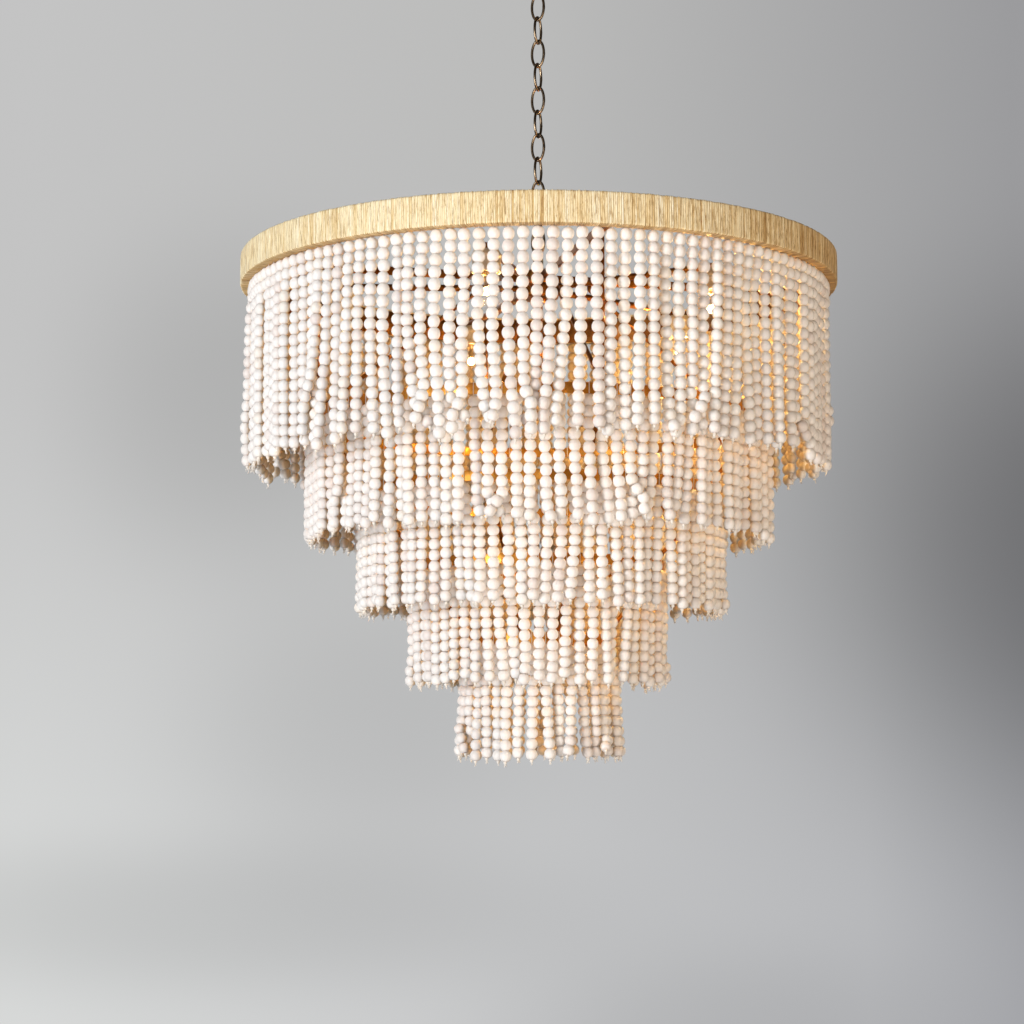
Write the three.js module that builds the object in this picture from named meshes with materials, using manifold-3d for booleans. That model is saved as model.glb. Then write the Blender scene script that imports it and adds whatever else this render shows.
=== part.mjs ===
// Beaded chandelier: a chain, a welded frame with a wrapped ring, five lamps and five tiers of bead strands.
// Millimetres, +Z up. The origin is the centre of the ceiling plate's top face, and the front is -Y.
import * as THREE from 'three';
import { mergeVertices } from 'three/addons/utils/BufferGeometryUtils.js';
import Module from 'manifold-3d';

const wasm = await Module();
wasm.setup();

// Driving sizes of the whole lamp
const RING_RADIUS = 350;
const BAND_HEIGHT = 36;
const FIRST_TIER_DROP = 161;
const TIER_DROP = 85;
const SEAT_GAP = 0.3;

// Beads and strands
const BEAD_DIAMETER = 12.6;
const BEAD_PITCH = 12;
const UPPER_TIER_BEADS = 17;
const LOWER_TIER_BEADS = 11;
const STRAND_SPACING = 15.1;
const STRAND_SIDES = 3;
const TIER_RADIUS_SHARES = [0.964, 0.7625, 0.596, 0.417, 0.248];
const TIER_PANELS = [6, 5, 4, 4, 3];
const PANEL_SWING_DEG = 10;
const RAIL_WIDTH = 2.4;
const RAIL_END_GAP = 1;
const RAIL_STEPS = 6;

// Ring, hoops, spider and ribs
const WRAP_THICKNESS = 3.2;
const WRAP_LIP = 2.2;
const RING_CORE_THICKNESS = 12;
const HOOP_HEIGHT = 12;
const HOOP_THICKNESS = 3;
const RING_STEPS = 48;
const HOOP_STEPS = 40;
const ARM_COUNT = 4;
const ARM_AZIMUTH_DEG = 15;
const ARM_HEIGHT = 10;
const ARM_THICKNESS = 4;
const ARM_FOOT_WIDTH = 26;
const ARM_FOOT_THICKNESS = 3;
const HUB_RADIUS = 18;
const HUB_HEIGHT = 16;
const HUB_CHAMFER = 2;
const ROD_RADIUS = 2.5;
const ROD_SIDES = 6;
const BRACE_TOP_RADIUS = 63;

// Chain and its two eyes
const WIRE = 3.2;
const LINK_WIDTH = 19.2;
const LINK_PITCH = 28.7;
const LINK_COUNT = 11;
const LINK_STEPS = 12;
const WIRE_SIDES = 6;
const CHAIN_TURN_DEG = -28;
const EYE_WIRE = 3.6;
const EYE_WIDTH = 21.6;
const EYE_HEIGHT = 33.6;
const HUB_EYE_HEIGHT = 25.7;
const EYE_SINK = 1.5;

// Canopy and ceiling plate
const CANOPY_RADIUS = 65;
const CANOPY_DEPTH = 30;
const CANOPY_WALL = 1.5;
const CANOPY_STEPS = 20;
const CANOPY_NECK_RADIUS = 12;
const PLATE_RADIUS = 52;
const PLATE_THICKNESS = 3;
const PLATE_STEPS = 16;
const BOSS_RADIUS = 9;
const BOSS_DEPTH = 14;
const SLOT_RADIUS = 2.6;
const SLOT_LENGTH = 14;
const SLOT_CENTRE_RADIUS = 36;
const STEM_RADIUS = 5;
const COLLAR_RADIUS = 12;
const COLLAR_HEIGHT = 6;
const COLLAR_CHAMFER = 2;

// Lamps and the column that carries them
const COLUMN_RADIUS = 5.35;
const COLUMN_LENGTH = 103;
const COLUMN_NUT_RADIUS = 11;
const COLUMN_NUT_HEIGHT = 5;
const COLUMN_TIP_SHARES = [0.7, 0.3];
const LAMP_COUNT = 5;
const LAMP_AZIMUTH_DEG = -14;
const LAMP_RADIUS = 230;
const LAMP_BODY_RADIUS = 24;
const LAMP_BODY_HEIGHT = 16;
const LAMP_BODY_CHAMFER = 3;
const LAMP_ARM_RADIUS = 4;
const SOCKET_RADIUS = 16.5;
const SOCKET_HEIGHT = 25;
const SOCKET_WALL = 3;
const CAP_RADIUS = 13;
const GLOBE_RADIUS = 23;
const GLOBE_SINK_SHARE = 0.82;
const GLOBE_TURNS_DEG = [-25, 13, 51, 89];
const ROUND_STEPS = 10;
const BODY_STEPS = 12;

// Worked out from the sizes above
const DEG = Math.PI / 180;
const beadRadius = BEAD_DIAMETER / 2;
const coreOuter = RING_RADIUS - WRAP_THICKNESS - SEAT_GAP;
const coreInner = coreOuter - RING_CORE_THICKNESS;
const armAzimuth = (k) => (ARM_AZIMUTH_DEG + (360 / ARM_COUNT) * k) * DEG;
// The ring's flats lie against the arms' feet, and a corner of each hoop's inner face lies at each rib
const ringTurn = armAzimuth(0) + Math.PI / RING_STEPS;

const finish = (color, roughness, metalness) =>
  new THREE.MeshStandardMaterial({ color, roughness, metalness, flatShading: true });
const antiqueBrass = finish(0xa8864f, 0.35, 0.9);
const darkBronze = finish(0x4a3626, 0.5, 0.7);
const raffia = finish(0xcdb083, 0.85, 0);
const whiteWood = finish(0xece6dc, 0.6, 0);
const warmGlass = finish(0xffd9a0, 0.15, 0);
const ivory = finish(0xd9c9a8, 0.5, 0);

// One closed mesh with its faces pointing out
function closed(geometry) {
  const bare = geometry.index ? geometry.clone() : geometry;
  bare.deleteAttribute('normal');
  bare.deleteAttribute('uv');
  const merged = mergeVertices(bare, 1e-4);
  const p = merged.attributes.position;
  const old = merged.index.array;
  const kept = [];
  let volume = 0;
  const corner = [new THREE.Vector3(), new THREE.Vector3(), new THREE.Vector3()];
  for (let i = 0; i < old.length; i += 3) {
    const [a, b, c] = [old[i], old[i + 1], old[i + 2]];
    if (a === b || b === c || c === a) continue;
    kept.push(a, b, c);
    [a, b, c].forEach((v, n) => corner[n].fromBufferAttribute(p, v));
    volume += corner[0].dot(corner[1].clone().cross(corner[2]));
  }
  if (volume < 0) kept.reverse();
  const out = new THREE.BufferGeometry();
  out.setAttribute('position', p.clone());
  out.setIndex(kept);
  return out;
}

function toSolid(geometry) {
  const g = closed(geometry);
  const vertProperties = new Float32Array(g.attributes.position.array);
  const triVerts = new Uint32Array(g.index.array);
  return new wasm.Manifold(new wasm.Mesh({ numProp: 3, vertProperties, triVerts }));
}

function fromSolid(solid) {
  const mesh = solid.getMesh();
  const g = new THREE.BufferGeometry();
  g.setAttribute('position', new THREE.BufferAttribute(new Float32Array(mesh.vertProperties), 3));
  g.setIndex(new THREE.BufferAttribute(new Uint32Array(mesh.triVerts), 1));
  return g;
}

const joined = (...geometries) => fromSolid(geometries.map(toSolid).reduce((a, b) => a.add(b)));
const cut = (body, ...tools) => fromSolid(tools.map(toSolid).reduce((a, b) => a.subtract(b), toSolid(body)));

// A turned form: the profile holds [radius, height] pairs
function turned(profile, steps = ROUND_STEPS) {
  const points = profile.map(([r, z]) => new THREE.Vector2(r, z));
  return closed(new THREE.LatheGeometry(points, steps).rotateX(Math.PI / 2));
}

// A turned ring of rectangular section
const ring = (outer, inner, low, high, steps = RING_STEPS) =>
  turned([[inner, low], [outer, low], [outer, high], [inner, high], [inner, low]], steps);

// A bar through the points, square to each stretch and mitred where it bends, with flat ends or joined up
function bar(points, radius, sides, isLoop = false, side = new THREE.Vector3(0, 1, 0)) {
  const count = points.length;
  const rings = isLoop ? count : count - 1;
  const at = (i) => points[(i + count) % count];
  const position = [];
  points.forEach((point, i) => {
    const into = isLoop || i > 0 ? point.clone().sub(at(i - 1)).normalize() : null;
    const away = isLoop || i < count - 1 ? at(i + 1).clone().sub(point).normalize() : null;
    const along = (into ?? away).clone().add(away ?? into).normalize();
    const stretch = 1 / along.dot(away ?? into);
    const across = side.clone().cross(along).normalize();
    for (let s = 0; s < sides; s += 1) {
      const turn = (2 * Math.PI * s) / sides;
      const place = point.clone()
        .addScaledVector(across, radius * stretch * Math.cos(turn))
        .addScaledVector(side, radius * Math.sin(turn));
      position.push(...place.toArray());
    }
  });
  const index = [];
  for (let i = 0; i < rings; i += 1) {
    for (let s = 0; s < sides; s += 1) {
      const a = i * sides + s;
      const b = i * sides + ((s + 1) % sides);
      const c = ((i + 1) % count) * sides + s;
      const d = ((i + 1) % count) * sides + ((s + 1) % sides);
      index.push(a, c, b, b, c, d);
    }
  }
  for (let s = 1; !isLoop && s < sides - 1; s += 1) {
    const last = (count - 1) * sides;
    index.push(0, s, s + 1, last, last + s + 1, last + s);
  }
  const g = new THREE.BufferGeometry();
  g.setAttribute('position', new THREE.Float32BufferAttribute(position, 3));
  g.setIndex(index);
  return closed(g);
}

// An upright oval of round wire in the XZ plane, centred on the origin: a chain link or an eye.
// Its top and bottom are short straight stretches, where the next link seats.
function oval(width, height, wire) {
  const points = [];
  const half = Math.PI / LINK_STEPS;
  const halfHeight = (height - wire) / 2 / Math.cos(half);
  for (let i = 0; i < LINK_STEPS; i += 1) {
    const turn = half * (2 * i + 1);
    points.push(new THREE.Vector3(((width - wire) / 2) * Math.sin(turn), 0, halfHeight * Math.cos(turn)));
  }
  return bar(points, wire / 2, WIRE_SIDES, true);
}

const chandelier = new THREE.Group();
chandelier.name = 'beaded_chandelier';

function add(name, geometry, material, { turn = 0, height = 0, radius = 0 } = {}) {
  const mesh = new THREE.Mesh(geometry, material);
  mesh.name = name;
  mesh.rotation.z = turn;
  mesh.position.set(radius * Math.sin(turn), -radius * Math.cos(turn), height);
  chandelier.add(mesh);
}

const number = (n) => String(n).padStart(2, '0');

// Ceiling plate with a blind boss for the stem and two screw slots
function ceilingPlate() {
  const bore = STEM_RADIUS + SEAT_GAP;
  const body = turned([
    [0, 0], [PLATE_RADIUS, 0], [PLATE_RADIUS, -PLATE_THICKNESS], [BOSS_RADIUS, -PLATE_THICKNESS],
    [BOSS_RADIUS, -BOSS_DEPTH], [bore, -BOSS_DEPTH], [bore, -PLATE_THICKNESS], [0, -PLATE_THICKNESS],
  ], PLATE_STEPS);
  const half = SLOT_LENGTH / 2 - SLOT_RADIUS;
  const slotDepth = 3 * PLATE_THICKNESS;
  const outline = new THREE.Shape()
    .absarc(half, 0, SLOT_RADIUS, -Math.PI / 2, Math.PI / 2)
    .absarc(-half, 0, SLOT_RADIUS, Math.PI / 2, (3 * Math.PI) / 2);
  const slots = [-1, 1].map((s) =>
    new THREE.ExtrudeGeometry(outline, { depth: slotDepth, bevelEnabled: false, curveSegments: 4 })
      .translate(0, s * SLOT_CENTRE_RADIUS, -(slotDepth + PLATE_THICKNESS) / 2));
  return cut(body, ...slots);
}

// Canopy: a thin dome, open at the ceiling, with a hole for the stem
function canopy() {
  const dome = (inset, count) => {
    const points = [];
    for (let i = 0; i <= count; i += 1) {
      const t = ((Math.PI / 2) * i) / count;
      const r = CANOPY_NECK_RADIUS + (CANOPY_RADIUS - inset - CANOPY_NECK_RADIUS) * Math.cos(t);
      points.push([r, -(CANOPY_DEPTH - inset) * Math.sin(t)]);
    }
    return points;
  };
  const hole = STEM_RADIUS + SEAT_GAP;
  const outside = dome(0, 4);
  const inside = dome(CANOPY_WALL, 4).reverse();
  const neck = [[hole, -CANOPY_DEPTH], [hole, -CANOPY_DEPTH + CANOPY_WALL]];
  return turned([...outside, ...neck, ...inside, outside[0]], CANOPY_STEPS);
}

// Stem, collar and eye under the canopy, all in the plane of the even links
const collarTop = -CANOPY_DEPTH - SEAT_GAP;
const collarBottom = collarTop - COLLAR_HEIGHT;
const loopCentre = collarBottom + EYE_SINK - EYE_HEIGHT / 2 + EYE_WIRE;
const loopSeat = loopCentre - (EYE_HEIGHT - EYE_WIRE) / 2;

function canopyLoop() {
  const stemTop = -PLATE_THICKNESS - SEAT_GAP;
  const stem = turned([
    [0, stemTop], [STEM_RADIUS, stemTop], [STEM_RADIUS, collarTop], [COLLAR_RADIUS, collarTop],
    [COLLAR_RADIUS, collarBottom + COLLAR_CHAMFER], [COLLAR_RADIUS - COLLAR_CHAMFER, collarBottom],
    [0, collarBottom],
  ]);
  return joined(stem, oval(EYE_WIDTH, EYE_HEIGHT, EYE_WIRE).translate(0, 0, loopCentre));
}

// Chain: each link hangs 0.3 mm clear of the link above, a quarter turn round from it
const linkHeight = LINK_PITCH + 2 * WIRE + SEAT_GAP;
const linkReach = (linkHeight - WIRE) / 2;
const firstLink = loopSeat + (EYE_WIRE + WIRE) / 2 + SEAT_GAP - linkReach;
const linkCentre = (k) => firstLink - k * LINK_PITCH;
const oddPlane = CHAIN_TURN_DEG * DEG;
const evenPlane = oddPlane + Math.PI / 2;

// The frame's eye hangs on the last link, and everything below takes its level from it
const eyeTop = linkCentre(LINK_COUNT - 1) - linkReach + (EYE_WIRE + WIRE) / 2 + SEAT_GAP;
const eyeCentre = eyeTop - (HUB_EYE_HEIGHT - EYE_WIRE) / 2;
const hubTop = eyeCentre - HUB_EYE_HEIGHT / 2 - SEAT_GAP;
const hubBottom = hubTop - HUB_HEIGHT;
const armTop = hubTop - (HUB_HEIGHT - ARM_HEIGHT) / 2;
const armBottom = armTop - ARM_HEIGHT;
const bandTop = armTop + (BAND_HEIGHT - ARM_HEIGHT) / 2;
const bandBottom = bandTop - BAND_HEIGHT;

function hubEye() {
  const low = hubTop + SEAT_GAP;
  const high = low + EYE_WIRE;
  const foot = turned([
    [0, low], [COLLAR_RADIUS, low], [COLLAR_RADIUS, low + EYE_WIRE / 2],
    [COLLAR_RADIUS - EYE_WIRE, high], [0, high],
  ]);
  return joined(foot, oval(EYE_WIDTH, HUB_EYE_HEIGHT, EYE_WIRE).translate(0, 0, eyeCentre));
}

// Spider: a hub with flat arms on edge, each ending in a foot against the ring's core
function spider() {
  const reach = coreInner * Math.cos(Math.PI / RING_STEPS) - SEAT_GAP;
  const flat = HUB_RADIUS - HUB_CHAMFER;
  const hub = turned([
    [0, hubBottom], [flat, hubBottom], [HUB_RADIUS, hubBottom + HUB_CHAMFER],
    [HUB_RADIUS, hubTop - HUB_CHAMFER], [flat, hubTop], [0, hubTop],
  ], BODY_STEPS);
  const parts = [];
  for (let k = 0; k < ARM_COUNT; k += 1) {
    const strap = new THREE.BoxGeometry(ARM_THICKNESS, reach, ARM_HEIGHT)
      .translate(0, -reach / 2, armTop - ARM_HEIGHT / 2);
    const foot = new THREE.BoxGeometry(ARM_FOOT_WIDTH, ARM_FOOT_THICKNESS, ARM_HEIGHT)
      .translate(0, -reach + ARM_FOOT_THICKNESS / 2, armTop - ARM_HEIGHT / 2);
    const turn = armAzimuth(k);
    parts.push(strap.rotateZ(turn), foot.rotateZ(turn));
  }
  return joined(hub, ...parts);
}

// Core of the top ring, and the wrap round its outside and both edges
const ringCore = () =>
  ring(coreOuter, coreInner, bandBottom + WRAP_LIP + SEAT_GAP, bandTop - WRAP_LIP - SEAT_GAP);

function ringWrap() {
  const wall = RING_RADIUS - WRAP_THICKNESS;
  const lip = coreInner - SEAT_GAP;
  return turned([
    [lip, bandBottom], [RING_RADIUS, bandBottom], [RING_RADIUS, bandTop], [lip, bandTop],
    [lip, bandTop - WRAP_LIP], [wall, bandTop - WRAP_LIP],
    [wall, bandBottom + WRAP_LIP], [lip, bandBottom + WRAP_LIP], [lip, bandBottom],
  ], RING_STEPS);
}

// Tiers: each has its radius, the level of the edge that its strands hang from, and its strands
const tiers = TIER_RADIUS_SHARES.map((radiusShare, t) => {
  const radius = RING_RADIUS * radiusShare;
  const edge = t === 0 ? bandBottom : bandBottom - FIRST_TIER_DROP - (t - 1) * TIER_DROP;
  const panels = TIER_PANELS[t];
  const arc = (2 * Math.PI) / panels;
  const strands = Math.round((radius * arc) / STRAND_SPACING);
  const beads = t === 0 ? UPPER_TIER_BEADS : LOWER_TIER_BEADS;
  const angles = Array.from({ length: strands }, (_, j) => arc * ((j + 0.5) / strands - 0.5));
  const hingeRadius = (radius * angles.reduce((sum, a) => sum + Math.cos(a), 0)) / strands;
  return { radius, edge, panels, arc, angles, beads, hingeRadius };
});

// Ribs: upright by the ring, seated on each hoop's inner face, and stepping in from hoop to hoop, with a brace
function rib() {
  const start = armBottom - SEAT_GAP;
  const seat = (tier) => -(tier.radius - HOOP_THICKNESS / 2 - SEAT_GAP - ROD_RADIUS);
  const at = (y, z) => new THREE.Vector3(0, y, z);
  const path = [at(seat(tiers[1]), start)];
  tiers.slice(1).forEach((tier, i) => {
    if (i > 0) path.push(at(seat(tier), tier.edge + HOOP_HEIGHT + ROD_RADIUS));
    path.push(at(seat(tier), tier.edge));
  });
  const x = new THREE.Vector3(1, 0, 0);
  const foot = at(seat(tiers[1]) + ROD_RADIUS / 2, tiers[1].edge + HOOP_HEIGHT);
  const brace = [at(-BRACE_TOP_RADIUS, start), at(-BRACE_TOP_RADIUS, start - 2 * ROD_RADIUS), foot];
  return joined(bar(path, ROD_RADIUS, ROD_SIDES, false, x), bar(brace, ROD_RADIUS, ROD_SIDES, false, x));
}

// Column with the nut that carries the lamp body, and the lamp body with its arms
const bodyTop = hubBottom - SEAT_GAP;
const bodyBottom = bodyTop - LAMP_BODY_HEIGHT;

function column() {
  const end = bodyTop - COLUMN_LENGTH;
  const [tipRadius, tipHeight] = COLUMN_TIP_SHARES.map((share) => COLUMN_RADIUS * share);
  const nutTop = bodyBottom - SEAT_GAP;
  const nutBottom = nutTop - COLUMN_NUT_HEIGHT;
  return turned([
    [0, bodyTop], [COLUMN_RADIUS, bodyTop], [COLUMN_RADIUS, nutTop], [COLUMN_NUT_RADIUS, nutTop],
    [COLUMN_NUT_RADIUS, nutBottom], [COLUMN_RADIUS, nutBottom], [COLUMN_RADIUS, end + COLUMN_RADIUS],
    [tipRadius, end + tipHeight], [0, end],
  ]);
}

const lampAzimuth = (k) => (LAMP_AZIMUTH_DEG + (360 / LAMP_COUNT) * k) * DEG;
const lampArmLevel = bodyTop - LAMP_ARM_RADIUS;
const socketTop = lampArmLevel - LAMP_ARM_RADIUS - SEAT_GAP;

function lampBody() {
  const bore = COLUMN_RADIUS + SEAT_GAP;
  const flat = LAMP_BODY_RADIUS - LAMP_BODY_CHAMFER;
  const body = turned([
    [bore, bodyTop], [flat, bodyTop], [LAMP_BODY_RADIUS, bodyTop - LAMP_BODY_CHAMFER],
    [LAMP_BODY_RADIUS, bodyBottom + LAMP_BODY_CHAMFER], [flat, bodyBottom], [bore, bodyBottom], [bore, bodyTop],
  ], BODY_STEPS);
  const arms = [];
  for (let k = 0; k < LAMP_COUNT; k += 1) {
    const points = [LAMP_BODY_RADIUS / 2, LAMP_RADIUS + LAMP_ARM_RADIUS]
      .map((r) => new THREE.Vector3(0, -r, lampArmLevel));
    const arm = bar(points, LAMP_ARM_RADIUS, ROD_SIDES, false, new THREE.Vector3(1, 0, 0));
    arms.push(arm.rotateZ(lampAzimuth(k)));
  }
  return joined(body, ...arms);
}

// Lampholder: a cup that the lamp's cap goes up into
function lampholder() {
  const bore = SOCKET_RADIUS - SOCKET_WALL;
  return turned([
    [0, 0], [bore, 0], [SOCKET_RADIUS, -2 * SOCKET_WALL], [SOCKET_RADIUS, -SOCKET_HEIGHT],
    [bore, -SOCKET_HEIGHT], [bore, -SOCKET_WALL], [0, -SOCKET_WALL],
  ]);
}

// Lamp: its cap, a short neck and a round globe
function lamp() {
  const capTop = -SOCKET_WALL - SEAT_GAP;
  const neck = -SOCKET_HEIGHT - SEAT_GAP;
  const centre = neck - GLOBE_RADIUS * GLOBE_SINK_SHARE;
  const profile = [[0, capTop], [CAP_RADIUS, capTop], [CAP_RADIUS, neck]];
  GLOBE_TURNS_DEG.forEach((turn) => {
    profile.push([GLOBE_RADIUS * Math.cos(turn * DEG), centre - GLOBE_RADIUS * Math.sin(turn * DEG)]);
  });
  profile.push([0, centre - GLOBE_RADIUS]);
  return turned(profile);
}

// One strand: pointed where it is tied, and as wide as its beads from the first bead's middle down
function beadString(top, shoulder, end) {
  const position = [0, 0, top];
  for (const level of [shoulder, end]) {
    for (let s = 0; s < STRAND_SIDES; s += 1) {
      const turn = (2 * Math.PI * s) / STRAND_SIDES;
      position.push(beadRadius * Math.sin(turn), beadRadius * Math.cos(turn), level);
    }
  }
  const index = [];
  const last = 1 + STRAND_SIDES;
  for (let s = 0; s < STRAND_SIDES; s += 1) {
    const a = 1 + s;
    const b = 1 + ((s + 1) % STRAND_SIDES);
    index.push(0, a, b, a, a + STRAND_SIDES, b, b, a + STRAND_SIDES, b + STRAND_SIDES);
  }
  for (let s = 1; s < STRAND_SIDES - 1; s += 1) index.push(last, last + s + 1, last + s);
  const g = new THREE.BufferGeometry();
  g.setAttribute('position', new THREE.Float32BufferAttribute(position, 3));
  g.setIndex(index);
  return g;
}

// A panel of strands on a stringing wire, which hangs by two ties on its hinge line under the hoop
function strandPanel(tier) {
  const swing = Math.sin(PANEL_SWING_DEG * DEG);
  const wireTop = -(tier.radius - tier.hingeRadius + beadRadius) * swing - SEAT_GAP;
  const wireBottom = wireTop - RAIL_WIDTH;
  const half = tier.arc / 2 - RAIL_END_GAP / (2 * tier.radius);
  const step = (2 * half) / RAIL_STEPS;
  const edge = (r) => Array.from({ length: RAIL_STEPS + 1 }, (_, i) =>
    new THREE.Vector2(r * Math.sin(i * step - half), -r * Math.cos(i * step - half)));
  const outline = new THREE.Shape([
    ...edge(tier.radius + RAIL_WIDTH / 2), ...edge(tier.radius - RAIL_WIDTH / 2).reverse(),
  ]);
  const wire = new THREE.ExtrudeGeometry(outline, { depth: RAIL_WIDTH, bevelEnabled: false })
    .translate(0, 0, wireBottom);
  const tieHeight = RAIL_WIDTH / 2 - SEAT_GAP - wireTop;
  const ties = [-1, 1].map((s) =>
    new THREE.BoxGeometry(RAIL_WIDTH, RAIL_WIDTH, tieHeight)
      .translate(0, -tier.radius, -SEAT_GAP - tieHeight / 2)
      .rotateZ(s * Math.acos(tier.hingeRadius / tier.radius)));
  const strand = beadString(wireBottom + RAIL_WIDTH / 2, wireBottom - beadRadius, -tier.beads * BEAD_PITCH);
  const strands = tier.angles.map((a) => {
    const along = ((a + half) % step) - step / 2;
    const onWire = (tier.radius * Math.cos(step / 2)) / Math.cos(along);
    return strand.clone().rotateZ(Math.PI).translate(0, -onWire, 0).rotateZ(a);
  });
  return joined(wire, ...ties, ...strands);
}

add('ceiling_plate', ceilingPlate(), darkBronze);
add('canopy', canopy(), antiqueBrass);
add('canopy_loop', canopyLoop(), antiqueBrass, { turn: evenPlane });

const link = oval(LINK_WIDTH, linkHeight, WIRE);
for (let k = 0; k < LINK_COUNT; k += 1) {
  const plane = k % 2 === 0 ? oddPlane : evenPlane;
  add(`chain_link_${number(k + 1)}`, link, antiqueBrass, { turn: plane, height: linkCentre(k) });
}

add('hub_eye', hubEye(), antiqueBrass, { turn: evenPlane });
add('spider', spider(), darkBronze);
add('ring_core', ringCore(), antiqueBrass, { turn: ringTurn });
add('ring_wrap', ringWrap(), raffia, { turn: ringTurn });
add('column', column(), darkBronze);
add('lamp_body', lampBody(), darkBronze);

const ribShape = rib();
for (let k = 0; k < ARM_COUNT; k += 1) add(`rib_${k + 1}`, ribShape, antiqueBrass, { turn: armAzimuth(k) });

const holderShape = lampholder();
const lampShape = lamp();
for (let k = 0; k < LAMP_COUNT; k += 1) {
  const place = { turn: lampAzimuth(k), height: socketTop, radius: LAMP_RADIUS };
  add(`lampholder_${k + 1}`, holderShape, ivory, place);
  add(`lamp_${k + 1}`, lampShape, warmGlass, place);
}

tiers.forEach((tier, t) => {
  if (t > 0) {
    const outer = tier.radius + HOOP_THICKNESS / 2;
    const shape = ring(outer, outer - HOOP_THICKNESS, tier.edge, tier.edge + HOOP_HEIGHT, HOOP_STEPS);
    add(`hoop_${t + 1}`, shape, antiqueBrass, { turn: armAzimuth(0) });
  }
  const shape = strandPanel(tier);
  for (let k = 0; k < tier.panels; k += 1) {
    add(`tier_${t + 1}_strands_${k + 1}`, shape, whiteWood, { turn: k * tier.arc, height: tier.edge });
  }
});

export default chandelier;
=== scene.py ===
# The beaded chandelier's looks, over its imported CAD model. Metres, +Z up, the front is -Y.
# Sizes are in millimetres where they are named, and become metres when a mesh is made.
import math
import random

import bpy
import numpy as np
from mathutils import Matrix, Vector


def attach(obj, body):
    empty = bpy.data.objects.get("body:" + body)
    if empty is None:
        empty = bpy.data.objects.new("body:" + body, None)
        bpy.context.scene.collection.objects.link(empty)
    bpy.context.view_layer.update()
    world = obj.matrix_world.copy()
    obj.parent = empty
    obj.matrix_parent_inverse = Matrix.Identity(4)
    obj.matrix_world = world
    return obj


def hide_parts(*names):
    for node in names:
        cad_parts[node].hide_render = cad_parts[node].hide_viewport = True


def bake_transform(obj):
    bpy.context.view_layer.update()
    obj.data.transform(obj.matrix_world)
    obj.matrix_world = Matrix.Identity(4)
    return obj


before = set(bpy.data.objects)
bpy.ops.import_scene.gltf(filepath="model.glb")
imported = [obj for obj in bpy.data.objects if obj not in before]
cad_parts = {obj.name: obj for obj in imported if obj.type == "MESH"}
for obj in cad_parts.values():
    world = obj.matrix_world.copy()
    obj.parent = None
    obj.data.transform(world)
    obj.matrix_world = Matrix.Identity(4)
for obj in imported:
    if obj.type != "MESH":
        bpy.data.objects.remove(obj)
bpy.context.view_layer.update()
MM = 0.001
DEG = math.pi / 180

# Camera
IMAGE_WIDTH = 1024
FOCAL_PIXELS = 2090
SENSOR = 36
CAMERA_PLACE = (0, -2.436, -0.932)
CAMERA_TILT = 5.8 * DEG
CAMERA_YAW = 0.73 * DEG

lens = bpy.data.cameras.new("camera")
lens.sensor_width = SENSOR
lens.lens = FOCAL_PIXELS / IMAGE_WIDTH * SENSOR
camera = bpy.data.objects.new("camera", lens)
camera.location = CAMERA_PLACE
camera.rotation_euler = (math.pi / 2 + CAMERA_TILT, 0, CAMERA_YAW)
bpy.context.scene.collection.objects.link(camera)
bpy.context.scene.camera = camera
bpy.context.scene.view_settings.view_transform = "Standard"

# Sizes of the lamp, as in the CAD model. FIT is the gap between two pieces that seat on each other.
FIT = 0.3
RING_RADIUS = 350
BAND_TOP = -389
BAND_BOTTOM = -425
WRAP_THICKNESS = 3.2
WRAP_LIP = 2.2
CORE_OUTER = 346.5
CORE_INNER = 334.5
TIER_RADII = [337.4, 266.875, 208.6, 145.95, 86.8]
TIER_EDGES = [-425, -586, -671, -756, -841]
TIER_PANELS = [6, 5, 4, 4, 3]
PANEL_STRANDS = [23, 22, 22, 15, 12]
TIER_BEADS = [17, 11, 11, 11, 11]
HOOP_HEIGHT = 12
HOOP_THICKNESS = 3
ARM_COUNT = 4
ARM_STEP = 360 / ARM_COUNT
ARM_AZIMUTH = 15
ARM_TOP = -402
ARM_HEIGHT = 10
ARM_THICKNESS = 4
FOOT_WIDTH = 26
FOOT_THICKNESS = 3
RIVET_PROFILE = [(0, 1.4), (1.5, 1.1), (2.4, 0.3), (2.5, -0.2), (0, -0.2)]
RIVET_PLACE = 0.33 * FOOT_WIDTH
HUB_RADIUS = 18
HUB_TOP = -399
HUB_BOTTOM = -415
ROD_RADIUS = 2.5
BRACE_TOP_RADIUS = 63
WELD_RADIUS = 1.35 * ROD_RADIUS
WELD_HALF = 3.4
WIRE = 3.2
LINK_WIDTH = 19.2
LINK_HEIGHT = 35.4
LINK_PITCH = 28.7
LINK_COUNT = 11
WELD_PLACE = 0.25
WELD_SPREAD = 0.012
WELD_SWELL = 0.09
FIRST_LINK = -75.4
CHAIN_TURN = -28
EYE_WIRE = 3.6
EYE_WIDTH = 21.6
EYE_HEIGHT = 33.6
EYE_SINK = 1.5
HUB_EYE_HEIGHT = 25.7
EYE_FOOT_HEIGHT = 3.6
EYE_FOOT_RIM = 1.6
EYE_FOOT_TOP = 8.4
CANOPY_RADIUS = 65
CANOPY_DEPTH = 30
CANOPY_WALL = 1.5
CANOPY_NECK = 12
STEM_RADIUS = 5
STEM_TOP = -3.3
COLLAR_RADIUS = 12
COLLAR_HEIGHT = 6
COLLAR_BEVEL = 2
COLUMN_RADIUS = 5.35
COLUMN_TOP = -415.3
COLUMN_END = -518.3
TIP_HEIGHT = 4.5
TIP_RADIUS = 2.6
TIP_BULGE = 0.6
NUT_RADIUS = 11
NUT_TOP = -431.6
NUT_BOTTOM = -436.6
LAMP_COUNT = 5
LAMP_STEP = 360 / LAMP_COUNT
LAMP_AZIMUTH = -14
LAMP_RADIUS = 230
BODY_RADIUS = 24
BODY_TOP = -415.3
BODY_BOTTOM = -431.3
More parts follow.
